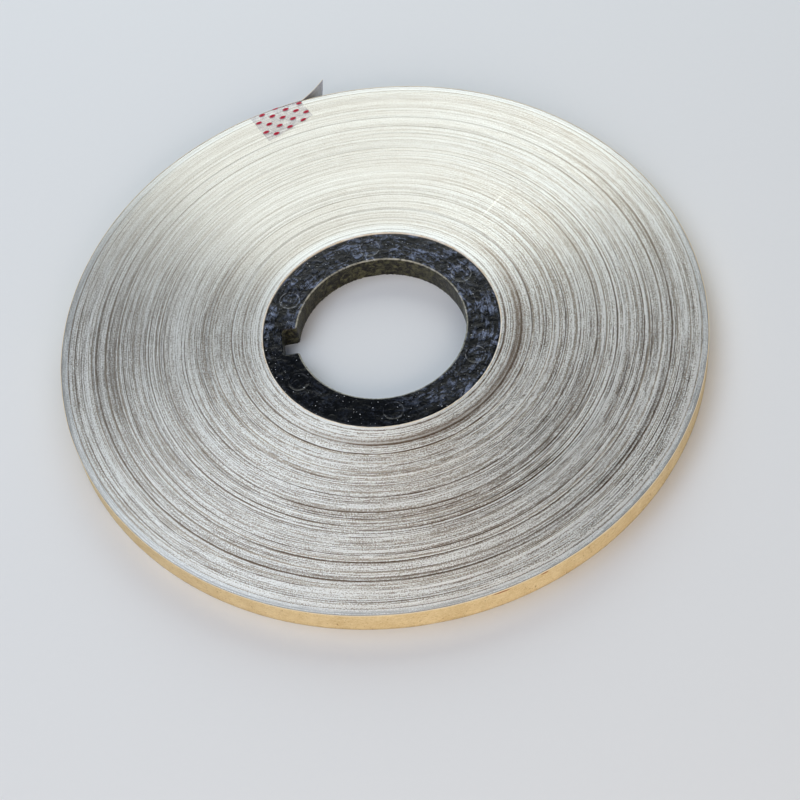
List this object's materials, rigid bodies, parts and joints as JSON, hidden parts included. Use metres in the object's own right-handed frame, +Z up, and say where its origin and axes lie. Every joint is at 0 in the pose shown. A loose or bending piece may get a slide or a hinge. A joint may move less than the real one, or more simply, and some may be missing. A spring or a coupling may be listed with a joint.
{
  "type": "foil tape roll",
  "caption": "Flat roll of narrow adhesive foil tape with kraft release liner on a keyed black plastic core, its loose end held by a dotted film sticker.",
  "frame": {"origin": "on the roll's axis, in the plane of the underside that it rests on", "axes": "+Z up along the roll's axis, -X through the core's keyway, +Y towards the rim near the tape's free end"},
  "size_m": [0.194, 0.2008, 0.0081],
  "materials": {
    "core_plastic": "moulded black plastic, scuffed and hazy",
    "core_wrap_paper": "matt cream paper",
    "wound_edge": "satin edges of alternating foil and paper layers",
    "foil_face": "dull grey foil with adhesive",
    "kraft_liner": "calendered kraft paper",
    "sticker_film": "thin clear film printed with red dots"
  },
  "bodies": {
    "roll": {"core": "core_plastic", "core_wrap": "core_wrap_paper", "wound_tape": "wound_edge", "outer_foil_turn": "foil_face", "outer_liner_turn": "kraft_liner", "closure_band": "sticker_film"},
    "tail": {"tail_foil": "foil_face", "tail_liner": "kraft_liner"},
    "flap": {"closure_flap": "sticker_film"}
  },
  "joints": [
    {"name": "tail_lift", "type": "hinge", "parent": "roll", "child": "tail", "pos_m": [-0.01486, 0.09601, 0.00397], "axis": [0, 0, 1], "range_deg": [-24, 70]},
    {"name": "closure_peel", "type": "hinge", "parent": "roll", "child": "flap", "pos_m": [-0.02412, 0.09395, 0.00797], "axis": [-0.9686, -0.2487, 0], "range_deg": [0, 150]}
  ]
}
